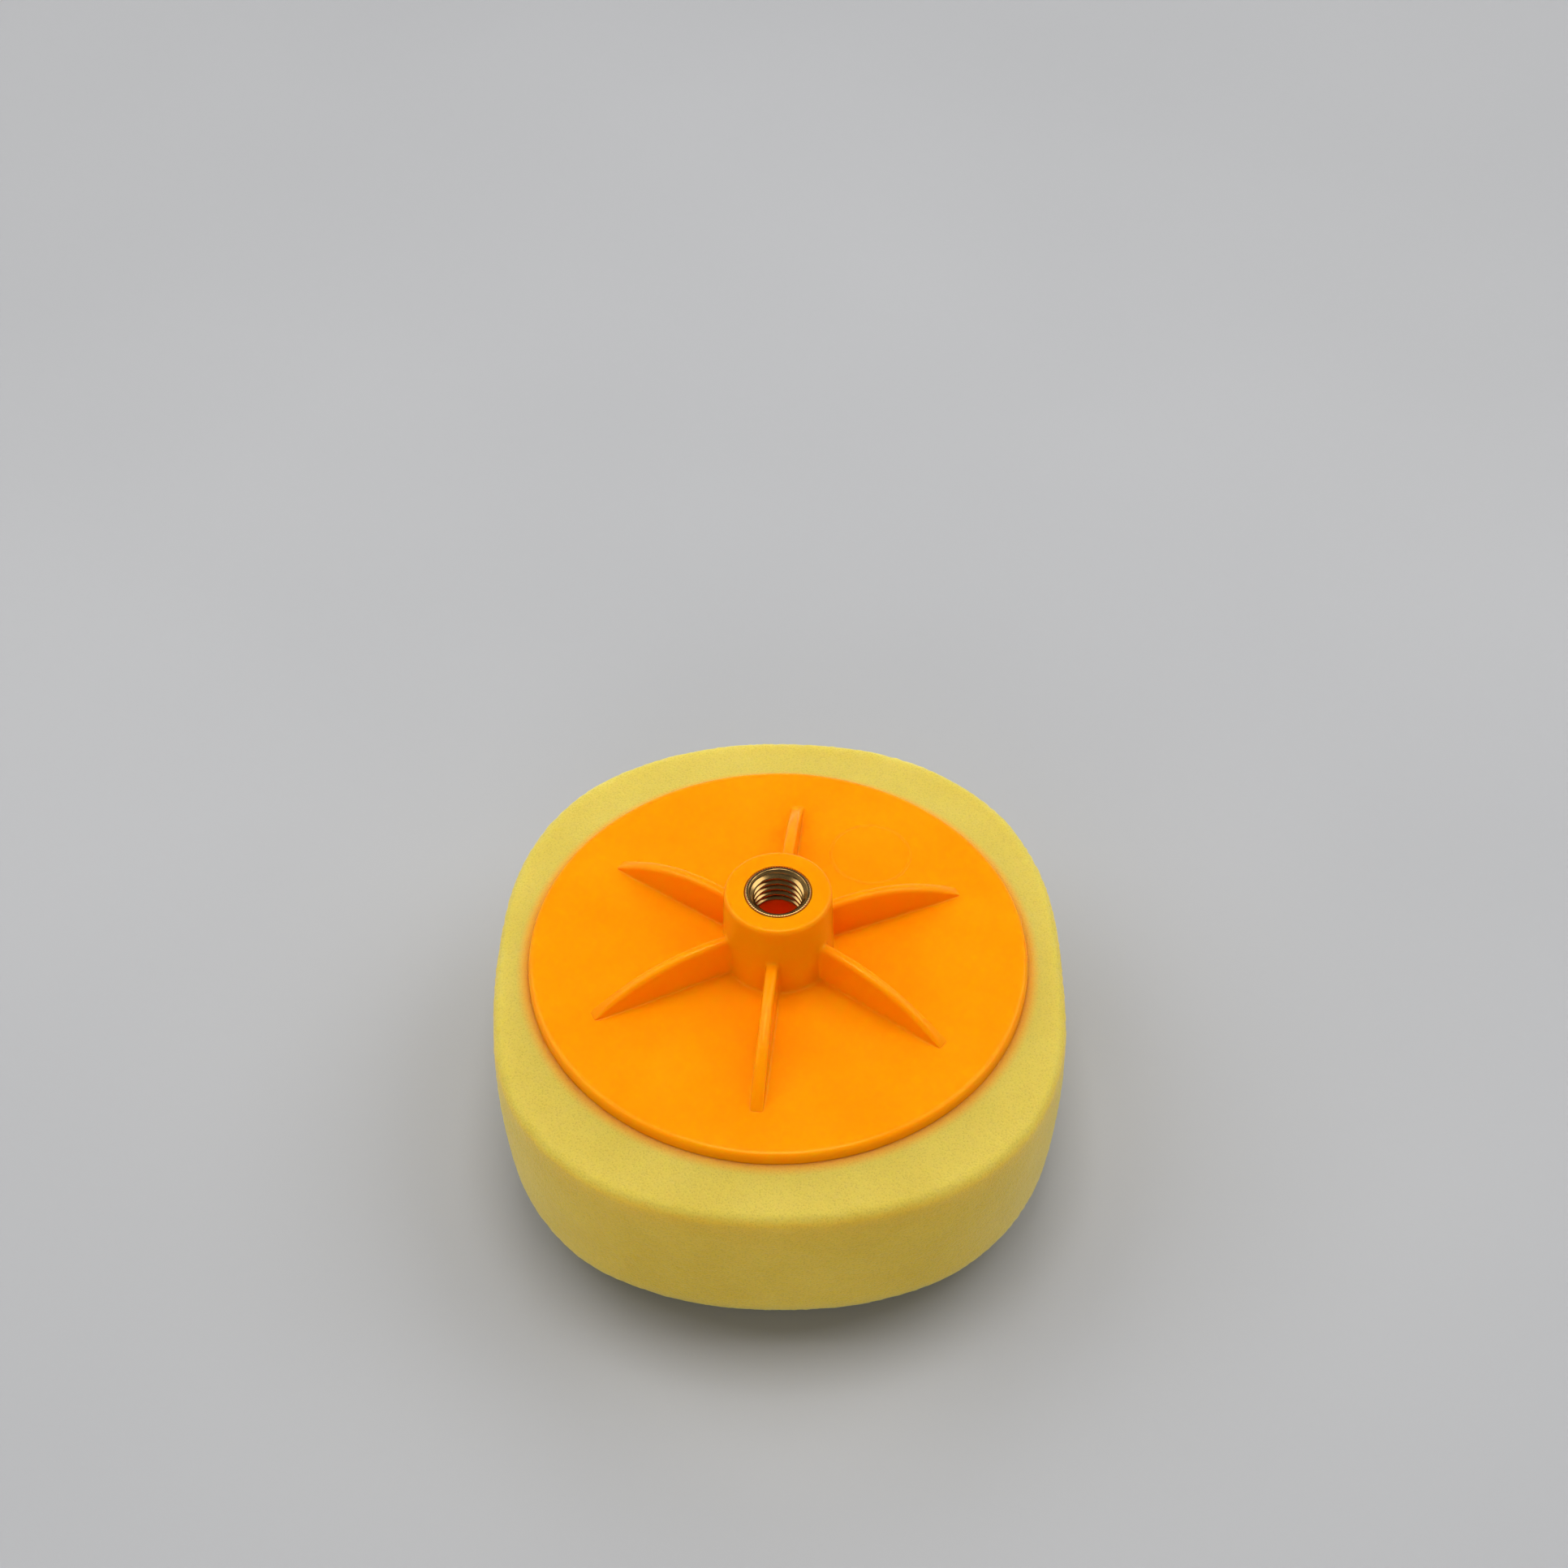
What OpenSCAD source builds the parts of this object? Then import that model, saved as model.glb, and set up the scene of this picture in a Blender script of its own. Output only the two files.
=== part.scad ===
// Foam polishing pad with a moulded backing plate and an M14 spindle insert.
// Millimetres. The pad lies flat: the foam's working face is on Z = 0 and the
// spindle axis is +Z, with the threaded boss on top.

/* [Foam] */
// Diameter of the foam
foam_d = 152; // [132:1:180]
// Thickness of the foam
foam_h = 50; // [20:1:60]
// Edge radius between the side and the back face
foam_back_r = 4; // [1:0.5:8]
// Edge radius between the side and the working face
foam_face_r = 14; // [1:0.5:18]

/* [Backing plate] */
// Diameter of the plate
plate_d = 126; // [110:1:130]
// Thickness of the plate at its rim
rim_t = 3.8; // [2.5:0.1:6]
// Rise of the plate's top from its rim to the foot of the boss
cone_h = 2; // [0:0.1:4]
// Rounding of the rim's top edge
rim_r = 1; // [0.4:0.1:2]

/* [Boss] */
// Diameter of the boss at its top
boss_d = 26.8; // [24:0.1:32]
// Height of the boss above the rim's top
boss_h = 24; // [20:0.5:32]
// Widening of the boss from its top to its foot, on the diameter
boss_draft = 1.2; // [0:0.1:3]
// Rounding of the boss's top edge
boss_r = 1.5; // [0.4:0.1:2]
// Radius of the fillet round the foot of the boss
foot_r = 2; // [0.5:0.1:4]
// Depth of the whole hole below the top of the boss
hole_depth = 20; // [14:0.5:22]
// Diameter of the plain hole below the insert
well_d = 12.4; // [12:0.1:14]

/* [Ribs] */
// Number of ribs
rib_count = 6; // [3:1:8]
// Thickness of a rib
rib_t = 3; // [1.5:0.1:4]
// Radius from the axis to the tip of a rib
rib_reach = 51; // [35:0.5:54]
// Height of a rib's crest above the rim's top
rib_top = 13; // [8:0.1:18]
// Radius from the axis to the crest
rib_crest = 17; // [14:0.5:25]
// Angle of the first rib from +X
rib_phase = 23.9; // [0:0.1:60]

/* [Threaded insert] */
// Outer diameter of the insert
insert_d = 16.7; // [16:0.1:20]
// Length of the insert
insert_l = 10.5; // [8:0.5:13]
// Diameter of the thread bore, M14 x 2 at its crests
thread_d = 11.84; // [11.8:0.01:12]
// Diameter of the lead-in at the mouth of the bore
lead_d = 14.2; // [14:0.1:15]
// Depth of the lead-in
lead_h = 1.5; // [0.5:0.1:2.5]

/* [Adhesive] */
// Thickness of the adhesive between plate and foam
glue_t = 0.3; // [0.1:0.1:1]
// Inset of the adhesive's edge from the plate's edge
glue_inset = 1; // [0:0.5:5]

/* [Hidden] */

arc_steps = 8;                          // straight pieces in a quarter round
overlap = 1;                            // how far a rib enters the boss, or a cut runs past a face
plate_z = foam_h + glue_t;              // underside of the plate
rim_z = plate_z + rim_t;                // top of the rim
boss_z = rim_z + boss_h;                // top of the boss
insert_z = boss_z - insert_l;           // bottom of the insert
hole_z = boss_z - hole_depth;           // floor of the hole
boss_foot_r = (boss_d + boss_draft) / 2;
rib_root = boss_d / 2 - overlap;        // inner end of a rib
rib_fall = rib_reach - rib_crest;       // length of a rib from its crest to its tip
rib_arc_r = (pow(rib_fall, 2) + pow(rib_top, 2)) / (2 * rib_top);

// Height of the plate's conical top at radius r
function cone_z(r) = rim_z + cone_h * (plate_d / 2 - r) / (plate_d / 2 - boss_foot_r);

// Points along an arc about [x, z] from angle a to angle b
function arc(x, z, r, a, b) =
    [for (i = [0 : arc_steps]) [x + r * cos(a + (b - a) * i / arc_steps),
                                z + r * sin(a + (b - a) * i / arc_steps)]];

// The soft disc that does the polishing
module foam_pad() {
    half = foam_d / 2;
    color([0.86, 0.77, 0.36])
        rotate_extrude($fn = 96)
            polygon(concat(
                [[0, 0]],
                arc(half - foam_face_r, foam_face_r, foam_face_r, -90, 0),
                arc(half - foam_back_r, foam_h - foam_back_r, foam_back_r, 0, 90),
                [[0, foam_h]]));
}

// The film of adhesive that bonds the plate to the foam
module adhesive_layer() {
    color([0.9, 0.82, 0.55])
        translate([0, 0, foam_h])
            cylinder(d = plate_d - 2 * glue_inset, h = glue_t, $fn = 96);
}

// Disc and boss of the plate, as one turned outline
module plate_body() {
    half = plate_d / 2;
    foot_z = cone_z(boss_foot_r + foot_r);
    rotate_extrude($fn = 96)
        polygon(concat(
            [[0, plate_z], [half, plate_z]],
            arc(half - rim_r, rim_z - rim_r, rim_r, 0, 90),
            arc(boss_foot_r + foot_r, foot_z + foot_r, foot_r, 270, 180),
            arc(boss_d / 2 - boss_r, boss_z - boss_r, boss_r, 0, 90),
            [[0, boss_z]]));
}

// One rib, whose top edge is an arc that is level at the crest
module rib() {
    rotate([90, 0, 0])
        linear_extrude(rib_t, center = true)
            intersection() {
                translate([rib_crest, rim_z + rib_top - rib_arc_r])
                    circle(rib_arc_r, $fn = 180);
                translate([rib_root, plate_z + rim_t / 2])
                    square([rib_reach - rib_root, rib_top + rim_t]);
            }
}

// Disc, boss and ribs in one moulding, with the pocket for the insert
module backing_plate() {
    color([1.0, 0.6, 0.05])
        difference() {
            union() {
                plate_body();
                for (i = [0 : rib_count - 1])
                    rotate(rib_phase + i * 360 / rib_count)
                        rib();
            }
            translate([0, 0, insert_z])
                cylinder(d = insert_d, h = insert_l + overlap, $fn = 96);
            translate([0, 0, hole_z])
                cylinder(d = well_d, h = hole_depth, $fn = 96);
        }
}

// The brass insert, with its thread as a plain bore
module threaded_insert() {
    color([0.78, 0.62, 0.36])
        difference() {
            translate([0, 0, insert_z])
                cylinder(d = insert_d, h = insert_l, $fn = 96);
            translate([0, 0, insert_z - overlap])
                cylinder(d = thread_d, h = insert_l + 2 * overlap, $fn = 96);
            translate([0, 0, boss_z - lead_h])
                cylinder(d = lead_d, h = lead_h + overlap, $fn = 96);
        }
}

foam_pad();
adhesive_layer();
backing_plate();
threaded_insert();
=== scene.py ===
"""Foam polishing pad: yellow foam, orange moulded backing plate, brass M14 insert.

Everything is worked out in millimetres in the CAD frame and written in metres.
The pad lies flat, with its working face on z = 0 and its spindle axis on +z.
"""
import math

import bmesh
import bpy
from mathutils import Euler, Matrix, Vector, noise


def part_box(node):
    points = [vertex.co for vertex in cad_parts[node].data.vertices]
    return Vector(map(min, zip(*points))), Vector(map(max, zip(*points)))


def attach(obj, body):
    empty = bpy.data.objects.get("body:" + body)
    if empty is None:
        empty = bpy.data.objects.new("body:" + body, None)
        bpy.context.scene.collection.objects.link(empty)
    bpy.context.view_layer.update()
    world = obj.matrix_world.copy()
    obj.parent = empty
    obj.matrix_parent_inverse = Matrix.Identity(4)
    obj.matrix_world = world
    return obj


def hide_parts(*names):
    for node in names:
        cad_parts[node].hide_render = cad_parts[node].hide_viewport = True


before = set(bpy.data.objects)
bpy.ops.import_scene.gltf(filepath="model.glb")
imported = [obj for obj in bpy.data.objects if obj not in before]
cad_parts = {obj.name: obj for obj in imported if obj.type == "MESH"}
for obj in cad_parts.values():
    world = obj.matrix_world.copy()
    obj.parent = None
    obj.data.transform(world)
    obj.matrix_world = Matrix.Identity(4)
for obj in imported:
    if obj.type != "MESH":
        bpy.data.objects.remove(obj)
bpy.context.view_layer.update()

MM = 0.001


def box_mm(node):
    """Lowest and highest corner of a CAD node, in millimetres."""
    low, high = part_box(node)
    return [v / MM for v in low], [v / MM for v in high]


# ---------------------------------------------------------------- driving sizes

FOAM_LOW, FOAM_HIGH = box_mm("foam_pad")
PLATE_LOW, PLATE_HIGH = box_mm("backing_plate")
INSERT_LOW, INSERT_HIGH = box_mm("threaded_insert")

FOAM_Z = FOAM_LOW[2]               # height of the foam's working face
FOAM_TOP = FOAM_HIGH[2]            # and of its back

PLATE_R = PLATE_HIGH[0]            # radius of the plate
PLATE_Z = PLATE_LOW[2]             # its underside
RIM_Z = PLATE_Z + 3.8              # top of its rim
CONE_RISE = 2.0                    # from the rim to the foot of the boss
BOSS_Z = PLATE_HIGH[2]             # top of the boss
BOSS_R = 13.4                      # radius of the boss at its top
BOSS_FOOT_R = 14.0                 # and at its foot
HOLE_Z = BOSS_Z - 20.0             # floor of the hole
WELL_R = 6.2                       # radius of the hole below the insert

RIB_COUNT = 6
RIB_PHASE = math.radians(23.9)     # angle of the first rib from +x
RIB_TOP = 13.0                     # height of a rib's crest above the rim
RIB_CREST = 17.0                   # radius of the crest, where the top edge's arc is level
RIB_REACH = 51.0                   # radius at which the arc comes down to the rim's level
RIB_END = 50.1                     # radius of the rib's end face
RIB_BASE_HALF = 1.65               # half thickness at the rim's level
RIB_TOP_HALF = 1.45                # half thickness at the crest
RIB_ARC_R = ((RIB_REACH - RIB_CREST) ** 2 + RIB_TOP ** 2) / (2 * RIB_TOP)
HALF_SECTOR = math.pi / RIB_COUNT

INSERT_R = INSERT_HIGH[0]          # over the knurl
INSERT_Z = INSERT_LOW[2]           # lower end of the insert
INSERT_TOP = INSERT_HIGH[2]        # and its upper end
THREAD_PITCH = 2.0
THREAD_CREST_R = 5.92
THREAD_ROOT_R = 7.0


# ---------------------------------------------------------------- mesh helpers

def polar(radius, angle, z):
    return Vector((radius * math.cos(angle), radius * math.sin(angle), z))


class Cage:
    """Patches of quads that are welded along their edges into one closed mesh."""

    def __init__(self):
        self.bm = bmesh.new()

    def patch(self, rows):
        """Add the quads between neighbouring rows of points."""
        grid = [[self.bm.verts.new(point) for point in row] for row in rows]
        for lower, upper in zip(grid, grid[1:]):
            for i in range(len(lower) - 1):
                self.bm.faces.new((lower[i], lower[i + 1], upper[i + 1], upper[i]))

    def build(self, name, subdivisions=0):
        """Weld the patches, scale to metres and return a smooth-shaded object."""
        bmesh.ops.remove_doubles(self.bm, verts=self.bm.verts, dist=0.0005)
        bmesh.ops.recalc_face_normals(self.bm, faces=self.bm.faces)
        bmesh.ops.scale(self.bm, vec=(MM, MM, MM), verts=self.bm.verts)
        mesh = bpy.data.meshes.new(name)
        self.bm.to_mesh(mesh)
        self.bm.free()
        mesh.shade_smooth()
        piece = bpy.data.objects.new(name, mesh)
        bpy.context.scene.collection.objects.link(piece)
        if subdivisions:
            modifier = piece.modifiers.new("smooth", "SUBSURF")
            modifier.levels = subdivisions
            modifier.render_levels = subdivisions
        return piece


# ---------------------------------------------------------------- backing plate

RIB_CROWN = ((0.0, 0.0), (0.5, 0.1), (1.0, 0.55))  # share of half a rib's thickness, drop
SECTOR_SPREAD = (0.14, 0.31, 0.52, 0.76, 1.0)  # columns from a rib's fillet to mid-sector
FILLET = 1.0                                   # spacing that rounds the inner corners
EDGE = 1.3                                     # spacing that rounds the ribs' top edges
BOSS_EDGE = 1.9                                # and the boss's top edge
TIP_START = 38.0                               # radius from which a rib gets thinner
TIP_SHARE = 0.95                               # share of its thickness left at its end
RIB_STATIONS = (15.4, 18, 22, 26, 30, 34, 38, 41.5, 44.5, 47, 48.6, RIB_END)
PRESS_GAP = 0.05                               # between the insert and its pocket


def cone_z(radius):
    """Height of the plate's top at a radius."""
    return RIM_Z + CONE_RISE * (PLATE_R - radius) / (PLATE_R - BOSS_FOOT_R)


def boss_r(z):
    """Radius of the boss at a height, with its draft."""
    return BOSS_R + (BOSS_FOOT_R - BOSS_R) * (BOSS_Z - z) / (BOSS_Z - RIM_Z)


def rib_top_z(x):
    """Height of a rib's top edge at a distance from the axis."""
    return RIM_Z + RIB_TOP - RIB_ARC_R + math.sqrt(RIB_ARC_R ** 2 - (x - RIB_CREST) ** 2)


def rib_half(z, x=BOSS_R):
    """Half thickness of a rib at a height and a distance from the axis."""
    draft = RIB_BASE_HALF + (RIB_TOP_HALF - RIB_BASE_HALF) * (z - RIM_Z) / RIB_TOP
    along = max(0.0, (x - TIP_START) / (RIB_END - TIP_START))
    return draft * (1 - (1 - TIP_SHARE) * along ** 2)


def crown(base, top):
    """(share of the half thickness, height) across the rounded top of a rib."""
    flatten = min(1.0, (top - base) / 4)
    return [(share, top - drop * flatten) for share, drop in RIB_CROWN]


def side_levels(base, crest):
    """Heights of the rows on a rib's side, closer together at its two corners."""
    top = crown(base, crest)[-1][1]
    height = top - base
    foot = min(FILLET, 0.3 * height)
    edge = min(EDGE, 0.3 * height)
    return [base, base + foot, base + 0.38 * height, base + 0.7 * height, top - edge, top]


def outer_angles(radius, half, height):
    """Angles of the columns from a rib's side to the middle of the sector."""
    fillet = min(FILLET, 0.3 + 0.4 * height)
    start = math.asin((half + fillet) / radius)
    spread = [start + (HALF_SECTOR - start) * share for share in SECTOR_SPREAD]
    return [math.asin(half / radius), start] + spread


def half_sector():
    """Patches of half a sector: x runs along the rib and y across it."""
    foot_z = cone_z(BOSS_FOOT_R)
    rib_z = rib_top_z(BOSS_R)
    below = side_levels(foot_z, rib_z)
    top_half = rib_half(below[-1])

    def boss_angles(z):
        return outer_angles(boss_r(z), rib_half(min(z, below[-1])), RIB_TOP)

    def boss_inner(z):
        return [math.asin(share * top_half / boss_r(z)) for share, drop in RIB_CROWN]

    # the boss's side: beside the rib, then over its top
    above = [rib_z + FILLET, rib_z + 4.5, BOSS_Z - 3.2, BOSS_Z - BOSS_EDGE]
    boss_outer = [[polar(boss_r(z), a, z) for a in boss_angles(z)] for z in below + above]
    rib_joint = [polar(boss_r(z), math.asin(share * top_half / boss_r(z)), z)
                 for share, z in crown(foot_z, rib_z)]
    boss_over_rib = [rib_joint] + [[polar(boss_r(z), a, z) for a in boss_inner(z)]
                                   for z in above]

    def rib_top_row(x):
        half = rib_half(side_levels(cone_z(x), rib_top_z(x))[-1], x)
        return [Vector((x, share * half, z)) for share, z in crown(cone_z(x), rib_top_z(x))]

    def rib_side_row(x):
        levels = side_levels(cone_z(x), rib_top_z(x))
        return [Vector((x, rib_half(z, x), z)) for z in levels]

    def plate_row(x):
        half = rib_half(cone_z(x), x)
        radius = math.hypot(x, half)
        angles = outer_angles(radius, half, rib_top_z(x) - cone_z(x))
        return [polar(radius, a, cone_z(x)) for a in angles]

    rib_top = [boss_over_rib[0]] + [rib_top_row(x) for x in RIB_STATIONS]
    rib_side = [[row[0] for row in boss_outer[:len(below)]]]
    rib_side += [rib_side_row(x) for x in RIB_STATIONS]
    plate = [boss_outer[0]] + [plate_row(x) for x in RIB_STATIONS]

    end_levels = side_levels(cone_z(RIB_END), rib_top_z(RIB_END))
    rib_end = [[Vector((RIB_END, share * rib_half(z, RIB_END), z)) for share, drop in RIB_CROWN]
               for z in end_levels[:-1]] + [rib_top[-1]]

    # beyond the rib's end the columns run straight out to the rim and round it
    last = rib_end[0] + plate[-1][1:]
    angles = [math.atan2(p.y, p.x) for p in last]
    rim = [(51.2, cone_z(51.2)), (54, cone_z(54)), (58, cone_z(58)),
           (PLATE_R - 2.3, cone_z(PLATE_R - 2.3)), (PLATE_R - 0.1, RIM_Z),
           (PLATE_R, RIM_Z - 2.2), (PLATE_R, PLATE_Z + 0.5), (PLATE_R, PLATE_Z),
           (PLATE_R - 0.8, PLATE_Z), (42, PLATE_Z), (21, PLATE_Z), (0, PLATE_Z)]
    outside = [last] + [[polar(r, a, z) for a in angles] for r, z in rim]

    # the top of the boss, the pocket of the insert and the well below it
    pocket_r = INSERT_R + PRESS_GAP
    pocket_z = INSERT_Z - PRESS_GAP
    top_angles = boss_inner(above[-1]) + boss_angles(above[-1])[1:]
    bore = [(boss_r(above[-1]), above[-1]), (BOSS_R, BOSS_Z), (BOSS_R - BOSS_EDGE, BOSS_Z),
            (10.0, BOSS_Z), (pocket_r + 0.4, BOSS_Z), (pocket_r, BOSS_Z),
            (pocket_r, BOSS_Z - 0.4), (pocket_r, pocket_z + 0.5), (pocket_r, pocket_z),
            (pocket_r - 0.5, pocket_z), (WELL_R + 0.4, pocket_z), (WELL_R, pocket_z),
            (WELL_R, pocket_z - 0.5), (WELL_R, HOLE_Z + 0.6), (WELL_R, HOLE_Z),
            (WELL_R - 0.6, HOLE_Z), (WELL_R / 2, HOLE_Z), (0, HOLE_Z)]
    inside = [[polar(r, a, z) for a in top_angles] for r, z in bore]

    return [boss_outer, boss_over_rib, rib_top, rib_side, plate, rib_end, outside, inside]


def make_plate():
    """The moulding: six sectors, each made of a half and its mirror image."""
    cage = Cage()
    patches = half_sector()
    for k in range(RIB_COUNT):
        turn = RIB_PHASE + 2 * HALF_SECTOR * k
        for side in (1, -1):
            for rows in patches:
                cage.patch([[turned(p, side, turn) for p in row] for row in rows])
    return cage.build("backing_plate_moulding", subdivisions=2)


def turned(point, side, turn):
    """A point of the half sector, mirrored for side -1 and turned about the axis."""
    cos, sin = math.cos(turn), math.sin(turn)
    y = side * point.y
    return Vector((point.x * cos - y * sin, point.x * sin + y * cos, point.z))


# ---------------------------------------------------------------- threaded insert

KNURL_TEETH = 76
KNURL_DEPTH = 0.42
KNURL_SHAPE = (0.0, 0.5, 1.0, 0.5)             # height of a tooth over its four columns
THREAD_PHASES = (0.0, 0.08, 0.13, 0.19, 0.26, 0.34, 0.41, 0.455,
                 0.5, 0.545, 0.59, 0.66, 0.74, 0.81, 0.87, 0.92)
CREST_HALF = 0.11                              # half the flat of a crest, in pitches
FLANK = 0.34                                   # width of a flank, in pitches
LEAD_R = 7.35                                  # radius of the lead-in at the mouth
LEAD_SLOPE = 1.0                               # radius lost per depth
LOWER_CHAMFER = 0.5                            # of the thread's lower end
INSERT_EDGE = 0.12                             # chamfer of the knurl's ends
FACE_INSET = 0.7                               # from the knurl to the flat of an end face


def thread_r(phase):
    """Radius of an internal 60 degree thread, from crest at 0 to root at a half."""
    distance = abs((phase + 0.5) % 1.0 - 0.5)
    share = min(max((distance - CREST_HALF) / FLANK, 0.0), 1.0)
    return THREAD_CREST_R + (THREAD_ROOT_R - THREAD_CREST_R) * share


def lead_r(z):
    """Radius that the lead-in at the top and the chamfer at the bottom leave free."""
    top = LEAD_R - LEAD_SLOPE * (INSERT_TOP - z)
    bottom = THREAD_CREST_R + LOWER_CHAMFER - (z - INSERT_Z)
    return max(top, bottom)


def make_insert():
    """Brass sleeve: a right-hand helical thread inside and a straight knurl outside."""
    cage = Cage()
    columns = KNURL_TEETH * len(KNURL_SHAPE)
    angles = [2 * math.pi * c / columns for c in range(columns + 1)]
    low, high = INSERT_Z, INSERT_TOP
    turns = math.ceil((high - low) / THREAD_PITCH) + 1

    thread = []
    for turn in range(-1, turns):
        for phase in THREAD_PHASES:
            row = []
            for angle in angles:
                z = low + THREAD_PITCH * (turn + phase + angle / (2 * math.pi))
                z = min(max(z, low), high)
                row.append(polar(max(thread_r(phase), lead_r(z)), angle, z))
            thread.append(row)
    cage.patch(thread)

    def gap(column):
        return KNURL_DEPTH * (1 - KNURL_SHAPE[column % len(KNURL_SHAPE)])

    # rows over the outside, as (radius, height, 1 where it is knurled)
    mouth_r = thread[-1][0].xy.length
    lower_r = thread[0][0].xy.length
    edge_r = INSERT_R - INSERT_EDGE
    face_r = INSERT_R - FACE_INSET
    face = [(mouth_r, high, 0), (mouth_r + 0.1, high, 0), (face_r, high, 0),
            (edge_r, high, 1), (INSERT_R, high - INSERT_EDGE, 1),
            (INSERT_R, low + INSERT_EDGE, 1), (edge_r, low, 1),
            (face_r, low, 0), (lower_r, low, 0)]
    cage.patch([[polar(r - knurled * gap(c), angles[c], z) for c in range(columns + 1)]
                for r, z, knurled in face])
    return cage.build("threaded_insert_brass")


# ---------------------------------------------------------------- foam pad

FOAM_COLUMNS = 512
FOAM_TOP_ROWS = 9
FOAM_ROUND_ROWS = 6
FOAM_SIDE_ROWS = 38
FOAM_FACE_ROWS = 18
FOAM_R = 75.8                      # mean radius of the cut edge
FOAM_BELLY = 1.1                   # bulge halfway up the side
FOAM_TAPER = 3.0                   # loss of radius from the back to the working face
FOAM_OVAL = -0.044                 # the cut is longer along y than along x,
FOAM_SQUARE = -0.030               # fuller at its diagonals
FOAM_LOBE = -0.008                 # and a little uneven
FOAM_SHIFT = Vector((0.3, -0.7, 0))    # the plate isn't glued quite at its middle
FOAM_BACK_ROUND = 2.6              # rounding between the side and the back
FOAM_FACE_ROUND = 14.0             # rounding between the side and the working face
FOAM_SWELL = 1.3                   # how far the foam stands up round the plate
FOAM_LIP = 0.4                     # reach of its level top on both sides of the plate's edge
FOAM_FALL = 1.6                    # from the plate's edge to where it starts to fall off
FOAM_WAVES = (26.0, 0.5)           # size and amount of the broad unevenness,
FOAM_PORES = (1.4, 0.22)           # of the pores outwards
FOAM_PITS = (1.5, 0.2)             # and of the pores upwards


def foam_edge(angle, z):
    """Radius of the cut edge at an angle and a height."""
    depth = 1 - z / FOAM_TOP
    mean = FOAM_R + 4 * FOAM_BELLY * depth * (1 - depth) - FOAM_TAPER * (depth - 0.5)
    shape = FOAM_OVAL * math.cos(2 * angle) + FOAM_SQUARE * math.cos(4 * angle)
    return mean * (1 + shape + FOAM_LOBE * math.sin(3 * angle))


def foam_wobble(point, size, amount):
    """Smooth irregularity with features of about a size, in millimetres."""
    return amount * noise.noise(point / size)


def foam_profile():
    """Rows from the middle of the back to the middle of the face, as (inner radius,
    share of the way from there to the cut edge, inset from the edge, height)."""
    rows = [(r, 0, 0, FOAM_TOP) for r in (0, 30, 58, PLATE_R - 1)]
    rows += [(PLATE_R - FOAM_LIP, 0, 0, FOAM_TOP + FOAM_SWELL - 0.1),
             (PLATE_R + FOAM_LIP, 0, 0, FOAM_TOP + FOAM_SWELL)]
    for i in range(FOAM_TOP_ROWS):
        share = i / FOAM_TOP_ROWS
        rows.append((PLATE_R + FOAM_FALL, share, FOAM_BACK_ROUND,
                     FOAM_TOP + 0.9 * FOAM_SWELL * (1 - share) ** 2))
    for i in range(FOAM_ROUND_ROWS + 1):
        a = 0.5 * math.pi * i / FOAM_ROUND_ROWS
        rows.append((0, 1, FOAM_BACK_ROUND * (1 - math.sin(a)),
                     FOAM_TOP - FOAM_BACK_ROUND * (1 - math.cos(a))))
    side_top = FOAM_TOP - FOAM_BACK_ROUND
    side_low = FOAM_Z + FOAM_FACE_ROUND
    for i in range(1, FOAM_SIDE_ROWS):
        rows.append((0, 1, 0, side_top + (side_low - side_top) * i / FOAM_SIDE_ROWS))
    for i in range(FOAM_FACE_ROWS + 1):
        a = 0.5 * math.pi * i / FOAM_FACE_ROWS
        rows.append((0, 1, FOAM_FACE_ROUND * (1 - math.cos(a)),
                     FOAM_Z + FOAM_FACE_ROUND * (1 - math.sin(a))))
    rows += [(r, 0, 0, FOAM_Z) for r in (50, 40, 30, 20, 10, 0)]
    return rows


def make_foam():
    """Soft disc with a slightly oval, slightly uneven and porous cut edge."""
    cage = Cage()
    angles = [2 * math.pi * c / FOAM_COLUMNS for c in range(FOAM_COLUMNS + 1)]
    rows = []
    for inner, share, inset, z in foam_profile():
        row = []
        for angle in angles:
            radius = inner + share * (foam_edge(angle, z) - inset - inner)
            point = polar(radius, angle % (2 * math.pi), z)
            outwards = foam_wobble(point, *FOAM_WAVES) + foam_wobble(point, *FOAM_PORES)
            upwards = foam_wobble(point, *FOAM_PITS)
            point += share * (outwards * polar(1, angle, 0) + FOAM_SHIFT)
            point.z += share * upwards
            row.append(point)
        rows.append(row)
    cage.patch(rows)
    return cage.build("foam_pad_block")


# ---------------------------------------------------------------- materials

MARK_R = 10.2                      # radius of the plain round mark on the plate
MARK_PLACE = 40.5                  # its distance from the axis
MARK_TOP = 0.15                    # half width of its ridge at the top
MARK_FOOT = 0.45                   # and at the foot
PLATE_GLOW_REACH = 3.5                   # how far the painted glow of the plate's orange light reaches into the foam
PLATE_GLOW_SHARE = 0.85                  # and how strong that painted glow is at the plate's edge


def linear(red, green, blue):
    """Colour given as 0-255 display values, as a linear RGBA."""
    def channel(value):
        value /= 255
        return value / 12.92 if value <= 0.04045 else ((value + 0.055) / 1.055) ** 2.4
    return (channel(red), channel(green), channel(blue), 1.0)


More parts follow.
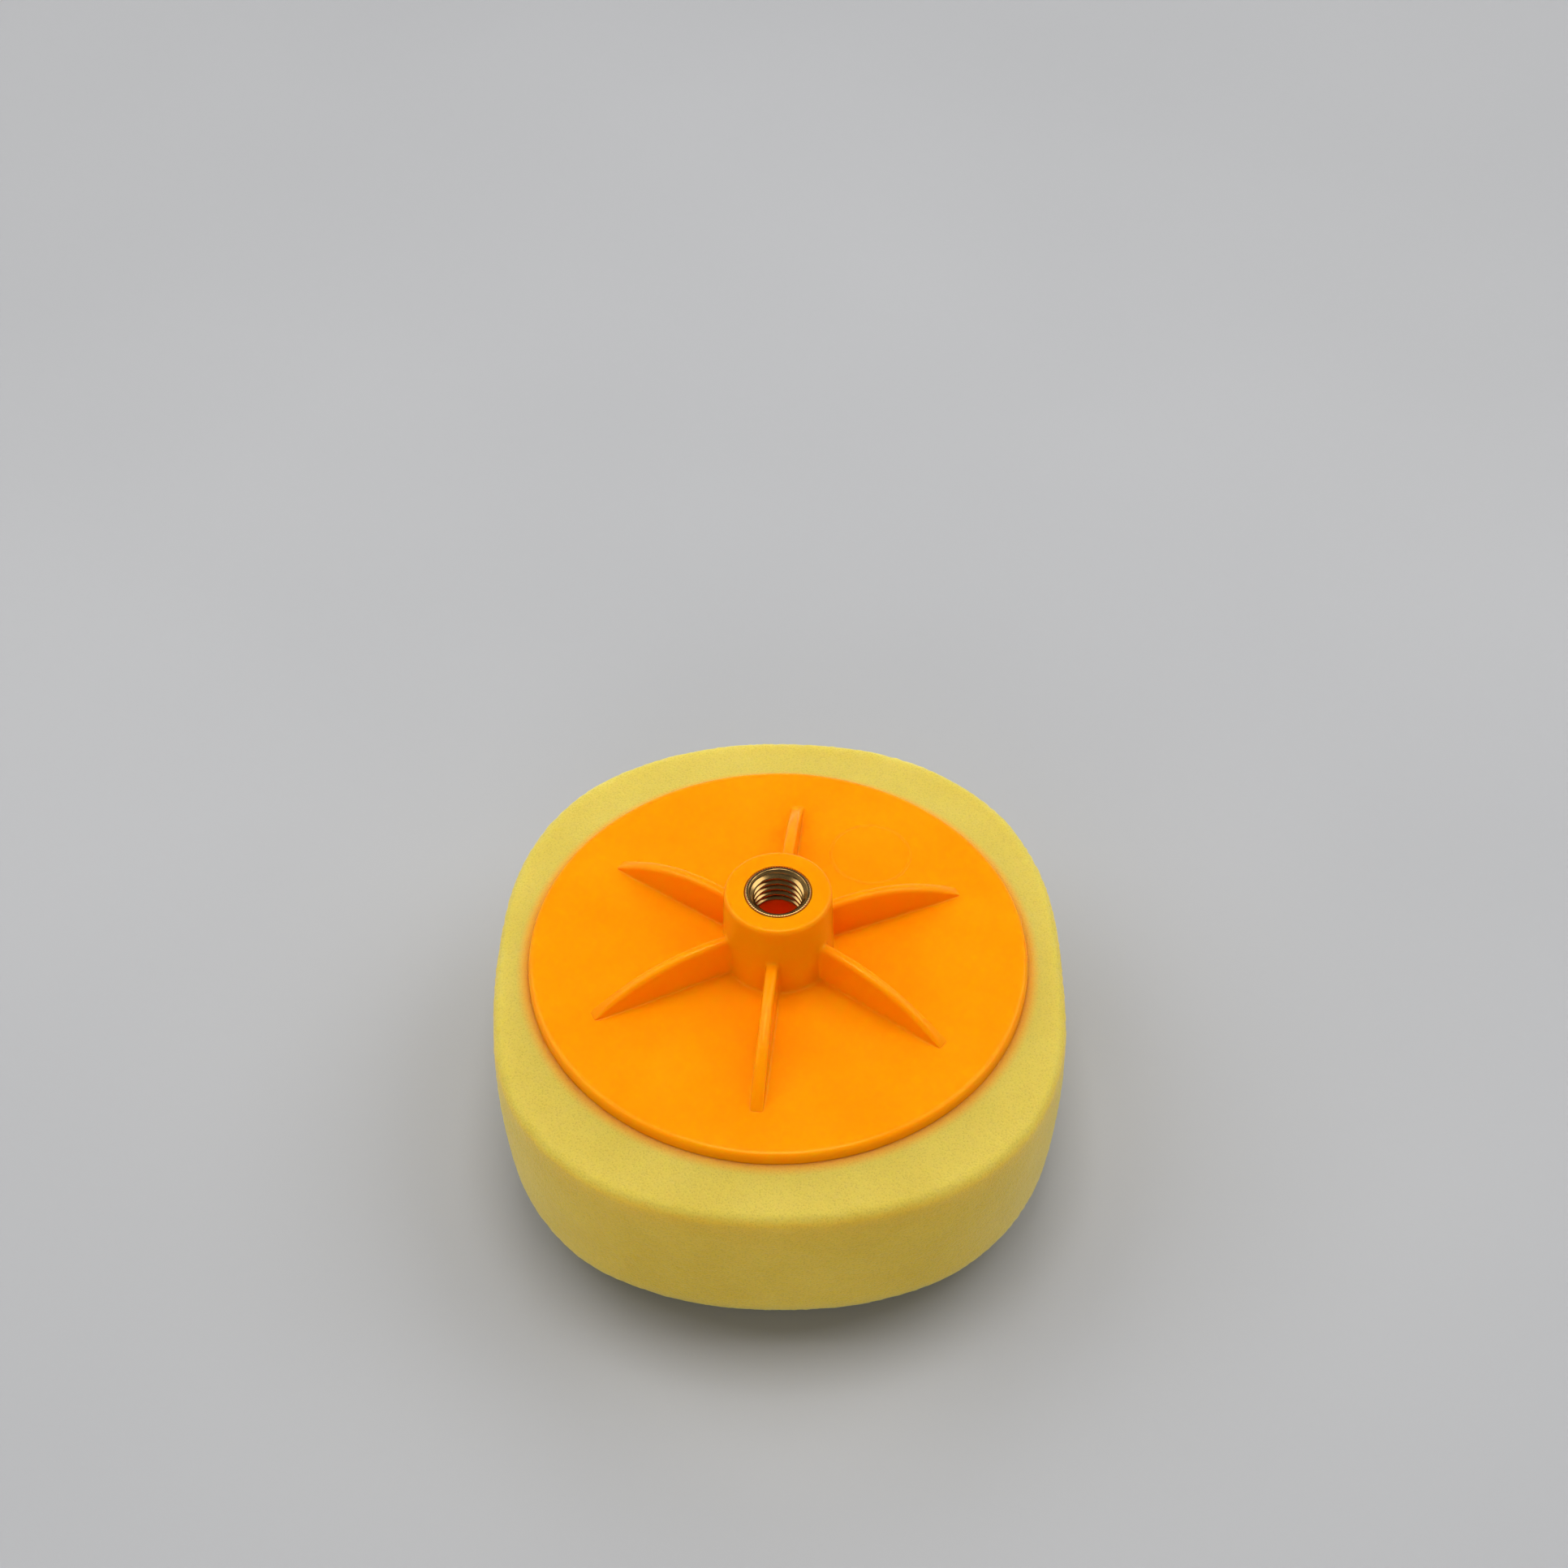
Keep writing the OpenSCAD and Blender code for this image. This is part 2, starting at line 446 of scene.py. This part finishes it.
class Finish:
    """A node material built round one Principled shader."""

    def __init__(self, name):
        self.material = bpy.data.materials.new(name)
        self.material.use_nodes = True
        self.nodes = self.material.node_tree.nodes
        self.links = self.material.node_tree.links
        self.shader = self.nodes["Principled BSDF"]
        self.place = self.nodes.new("ShaderNodeTexCoord").outputs["Object"]

    def feed(self, socket, value):
        """Set an input to a value, or link it to another node's output."""
        if isinstance(value, bpy.types.NodeSocket):
            self.links.new(value, socket)
        else:
            socket.default_value = value

    def add(self, kind, **inputs):
        """A node of a kind, with some of its inputs set or linked by name."""
        node = self.nodes.new("ShaderNode" + kind)
        for name, value in inputs.items():
            self.feed(node.inputs[name.replace("_", " ")], value)
        return node

    def calculate(self, kind, operation, *operands):
        """A Math or VectorMath node that works on values or sockets."""
        node = self.add(kind)
        node.operation = operation
        for socket, value in zip(node.inputs, operands):
            self.feed(socket, value)
        return node

    def fade(self, value, start, end, first=1.0, last=0.0, curve="LINEAR"):
        """One level below a start, another above an end, and a ramp between them."""
        node = self.add("MapRange", Value=value, From_Min=start, From_Max=end,
                        To_Min=first, To_Max=last)
        node.interpolation_type = curve
        return node.outputs["Result"]

    def noise(self, size_mm, detail=3.0, roughness=0.5):
        """Noise with features of about a size."""
        return self.add("TexNoise", Vector=self.place, Scale=1 / (size_mm * MM),
                        Detail=detail, Roughness=roughness).outputs["Fac"]

    def ramp(self, value, *stops):
        """Colours or greys at positions along a value."""
        node = self.add("ValToRGB", Fac=value)
        elements = node.color_ramp.elements
        while len(elements) < len(stops):
            elements.new(0.5)
        for element, (position, colour) in zip(elements, stops):
            element.position = position
            grey = isinstance(colour, (int, float))
            element.color = (colour, colour, colour, 1) if grey else colour
        return node.outputs["Color"]

    def mix(self, share, first, second, blend="MIX"):
        """Mix of two colours."""
        node = self.nodes.new("ShaderNodeMix")
        node.data_type = "RGBA"
        node.blend_type = blend
        for index, value in ((0, share), (6, first), (7, second)):
            self.feed(node.inputs[index], value)
        return node.outputs[2]

    def radius(self, centre=(0, 0)):
        """Distance from the spindle axis, or from a centre beside it, in plan."""
        offset = self.calculate("VectorMath", "SUBTRACT", self.place,
                                (centre[0] * MM, centre[1] * MM, 0))
        flat = self.calculate("VectorMath", "MULTIPLY", offset.outputs["Vector"], (1, 1, 0))
        return self.calculate("VectorMath", "LENGTH", flat.outputs["Vector"]).outputs["Value"]

    def round_mark(self):
        """Raised plain ring in the plate's top, in the middle between two ribs."""
        angle = RIB_PHASE + HALF_SECTOR
        centre = (MARK_PLACE * math.cos(angle), MARK_PLACE * math.sin(angle))
        off = self.calculate("Math", "SUBTRACT", self.radius(centre), MARK_R * MM)
        away = self.calculate("Math", "ABSOLUTE", off.outputs["Value"])
        return self.fade(away.outputs["Value"], MARK_TOP * MM, MARK_FOOT * MM,
                         curve="SMOOTHSTEP")

    def inside_hole(self):
        """1 in the well below the insert; there the base colour is painted redder, a painted
        glow of light come through the plastic, and the subsurface reach is longer.
        """
        return self.fade(self.radius(), (WELL_R + 0.2) * MM, (WELL_R + 1.0) * MM)

    def painted_side_light(self):
        """1 on the vertical side of the foam, 0 on its flat faces; there the colour is painted
        lighter and yellower as painted light.
        """
        normal = self.nodes["Texture Coordinate"].outputs["Normal"]
        up = self.add("SeparateXYZ", Vector=normal).outputs["Z"]
        slope = self.calculate("Math", "ABSOLUTE", up)
        return self.fade(slope.outputs["Value"], 0.3, 0.8)

    def painted_plate_glow(self):
        """Share of the painted reflection of the plate's orange light in the foam round the
        plate's edge.
        """
        glow = self.fade(self.radius(), PLATE_R * MM, (PLATE_R + PLATE_GLOW_REACH) * MM,
                         first=PLATE_GLOW_SHARE, curve="SMOOTHSTEP")
        height = self.add("SeparateXYZ", Vector=self.place).outputs["Z"]
        back = self.calculate("Math", "GREATER_THAN", height, 0.9 * PLATE_Z * MM)
        return self.calculate("Math", "MULTIPLY", glow, back.outputs["Value"]).outputs["Value"]

    def bump(self, height, distance_mm, strength=1.0, below=None):
        """Bump from a height, over another bump if there is one."""
        node = self.add("Bump", Height=height, Distance=distance_mm * MM, Strength=strength)
        if below is not None:
            self.feed(node.inputs["Normal"], below)
        return node.outputs["Normal"]

    def set(self, **inputs):
        """Set or link the shader's inputs and return the material."""
        for name, value in inputs.items():
            self.feed(self.shader.inputs[name.replace("_", " ")], value)
        return self.material


def plastic_finish():
    """Glossy orange moulded plastic that lets a little light through, with a painted redder
    glow in the well below the insert.
    """
    f = Finish("orange_plastic")
    tone = f.ramp(f.noise(18, 2), (0.3, linear(255, 147, 1)), (0.7, linear(255, 155, 3)))
    # painted glow: the well's base colour is painted redder, standing in for light that has
    # come through the plastic
    tone = f.mix(f.inside_hole(), tone, linear(255, 135, 6))
    gloss = f.ramp(f.noise(5, 4), (0.3, 0.18), (0.7, 0.26))
    mark = f.bump(f.round_mark(), 0.12, 1.0)
    ripple = f.bump(f.noise(9, 1), 0.05, 0.35, mark)
    grain = f.bump(f.noise(0.35, 2), 0.01, 0.35, ripple)
    reach = f.fade(f.inside_hole(), 0, 1, 4.0 * MM, 14.0 * MM)
    return f.set(Base_Color=tone, Roughness=gloss, Normal=grain, Specular_IOR_Level=0.25,
                 Specular_Tint=(1.0, 0.85, 0.2, 1.0), Subsurface_Weight=0.7,
                 Subsurface_Radius=(1.0, 0.15, 0.02), Subsurface_Scale=reach)


def foam_finish():
    """Open-cell foam: fine pores with painted shade in them, a matt surface, soft uneven
    colour, a painted lighter side and a painted orange glow round the plate.
    """
    f = Finish("yellow_foam")
    cells = f.add("TexVoronoi", Vector=f.place, Scale=1 / (0.62 * MM)).outputs["Distance"]
    fine = f.noise(0.3, 3, 0.6)
    broad = f.noise(22, 3)
    base = f.ramp(broad, (0.3, linear(211, 189, 82)), (0.7, linear(219, 198, 92)))
    # painted shade: the foam's colour is darker in the middle of each pore
    pores = f.ramp(cells, (0.05, 0.72), (0.45, 1.0))
    spotted = f.mix(0.6, base, pores, "MULTIPLY")
    dust = f.ramp(fine, (0.35, 0.86), (0.65, 1.0))
    colour = f.mix(0.7, spotted, dust, "MULTIPLY")
    # painted light: the foam's vertical side is painted lighter and yellower, standing in for
    # light that falls on it
    colour = f.mix(f.painted_side_light(), colour, (1.22, 1.08, 0.78, 1.0), "MULTIPLY")
    # painted reflection: orange bounce light from the plate painted into the foam's colour
    # round its edge
    colour = f.mix(f.painted_plate_glow(), colour, linear(240, 150, 46))
    low = f.bump(cells, 0.3, 0.5)
    rough = f.bump(fine, 0.25, 0.4, low)
    return f.set(Base_Color=colour, Roughness=0.95, Normal=rough, Specular_IOR_Level=0.1,
                 Subsurface_Weight=0.8, Subsurface_Radius=(1.0, 0.75, 0.2),
                 Subsurface_Scale=9.0 * MM, Sheen_Weight=0.25, Sheen_Roughness=0.4)


def brass_finish():
    """Turned brass with fine tool marks and dull patches."""
    f = Finish("brass")
    tone = f.ramp(f.noise(2.5, 3), (0.3, linear(172, 136, 82)), (0.7, linear(190, 154, 96)))
    gloss = f.ramp(f.noise(1.2, 3), (0.3, 0.15), (0.7, 0.24))
    marks = f.bump(f.noise(0.3, 2), 0.004, 0.3)
    return f.set(Base_Color=tone, Metallic=1.0, Roughness=gloss, Normal=marks)


def adhesive_finish():
    """Cured film of contact adhesive."""
    f = Finish("adhesive")
    tone = f.ramp(f.noise(1.5, 3), (0.3, linear(196, 150, 60)), (0.7, linear(216, 172, 84)))
    lumps = f.bump(f.noise(0.8, 2), 0.08, 0.5)
    return f.set(Base_Color=tone, Roughness=0.45, Normal=lumps)


def floor_finish():
    """Plain pale studio floor."""
    f = Finish("studio_floor")
    tone = f.ramp(f.noise(240, 2), (0.3, linear(173, 175, 179)), (0.7, linear(177, 179, 183)))
    return f.set(Base_Color=tone, Roughness=0.7, Specular_IOR_Level=0.2)


# ---------------------------------------------------------------- object

plate = make_plate()
plate.data.materials.append(plastic_finish())
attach(plate, "root")
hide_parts("backing_plate")

insert = make_insert()
insert.data.materials.append(brass_finish())
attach(insert, "root")
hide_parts("threaded_insert")

foam = make_foam()
foam.data.materials.append(foam_finish())
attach(foam, "root")
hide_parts("foam_pad")

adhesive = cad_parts["adhesive_layer"]
adhesive_material = adhesive_finish()
if not adhesive.material_slots:
    adhesive.data.materials.append(adhesive_material)
for slot in adhesive.material_slots:
    slot.material = adhesive_material


# ---------------------------------------------------------------- studio

PAD_CENTRE = (0, 0, RIM_Z * MM)    # the point that the lights face, in metres like the rest
FLOOR_REACH = 1.3
FLOOR_DROP = 0.0003                # keeps the floor clear of the foam's pores
CAMERA_LENS = 50                   # in millimetres, like the sensor
CAMERA_SENSOR = 24
CAMERA_BACK = 0.5272               # from the spindle axis
CAMERA_RISE = 0.6308               # above the plate's rim
CAMERA_TILT = 42.87                # degrees from straight down
CAMERA_TURN = -0.16                # degrees about the vertical


def make_floor():
    """Square sheet of floor."""
    mesh = bpy.data.meshes.new("studio_floor")
    corners = [(x * FLOOR_REACH, y * FLOOR_REACH, 0)
               for x, y in ((-1, -1), (1, -1), (1, 1), (-1, 1))]
    mesh.from_pydata(corners, [], [(0, 1, 2, 3)])
    floor = bpy.data.objects.new("studio_floor", mesh)
    bpy.context.scene.collection.objects.link(floor)
    floor.location.z = -FLOOR_DROP
    floor.data.materials.append(floor_finish())


def make_softbox(name, place, size, power, mirrored=True):
    """Square area light that faces the pad; one that isn't mirrored shows in no gloss."""
    light = bpy.data.lights.new(name, "AREA")
    light.shape = "SQUARE"
    light.size = size
    light.energy = power
    light.color = (1.0, 0.98, 0.95)
    lamp = bpy.data.objects.new(name, light)
    lamp.location = place
    aim = Vector(PAD_CENTRE) - Vector(place)
    lamp.rotation_euler = aim.to_track_quat("-Z", "Y").to_euler()
    lamp.visible_glossy = mirrored
    bpy.context.scene.collection.objects.link(lamp)


def make_world(low, high):
    """Grey surroundings: one brightness near the horizon, another overhead."""
    world = bpy.data.worlds.new("studio")
    world.use_nodes = True
    nodes, links = world.node_tree.nodes, world.node_tree.links
    direction = nodes.new("ShaderNodeTexCoord").outputs["Generated"]
    split = nodes.new("ShaderNodeSeparateXYZ")
    links.new(direction, split.inputs[0])
    ramp = nodes.new("ShaderNodeValToRGB")
    links.new(split.outputs["Z"], ramp.inputs["Fac"])
    for element, position, grey in zip(ramp.color_ramp.elements, (0.45, 0.65), (low, high)):
        element.position = position
        element.color = (grey, 0.99 * grey, 0.97 * grey, 1)
    links.new(ramp.outputs["Color"], nodes["Background"].inputs["Color"])
    bpy.context.scene.world = world


def make_camera():
    """Camera in front of the pad, looking down on it."""
    camera = bpy.data.cameras.new("camera")
    camera.lens = CAMERA_LENS
    camera.sensor_width = CAMERA_SENSOR
    view = bpy.data.objects.new("camera", camera)
    view.location = (0, -CAMERA_BACK, RIM_Z * MM + CAMERA_RISE)
    view.rotation_euler = Euler((math.radians(CAMERA_TILT), 0, math.radians(CAMERA_TURN)))
    bpy.context.scene.collection.objects.link(view)
    bpy.context.scene.camera = view


make_floor()
make_world(0.3, 0.12)
make_softbox("left", (-0.75, 0.3, 1.0), 0.9, 6.2)
make_softbox("right", (0.75, 0.3, 1.0), 0.9, 6.8)
make_softbox("top", (0, 0.15, 1.35), 0.5, 6.4)
make_softbox("front", (-0.2, -1.1, 0.4), 0.6, 3.0, mirrored=False)
make_softbox("back", (0, 1.9, 1.2), 1.2, 9.0, mirrored=False)
make_camera()

scene = bpy.context.scene
scene.view_settings.view_transform = "Standard"
scene.view_settings.look = "None"
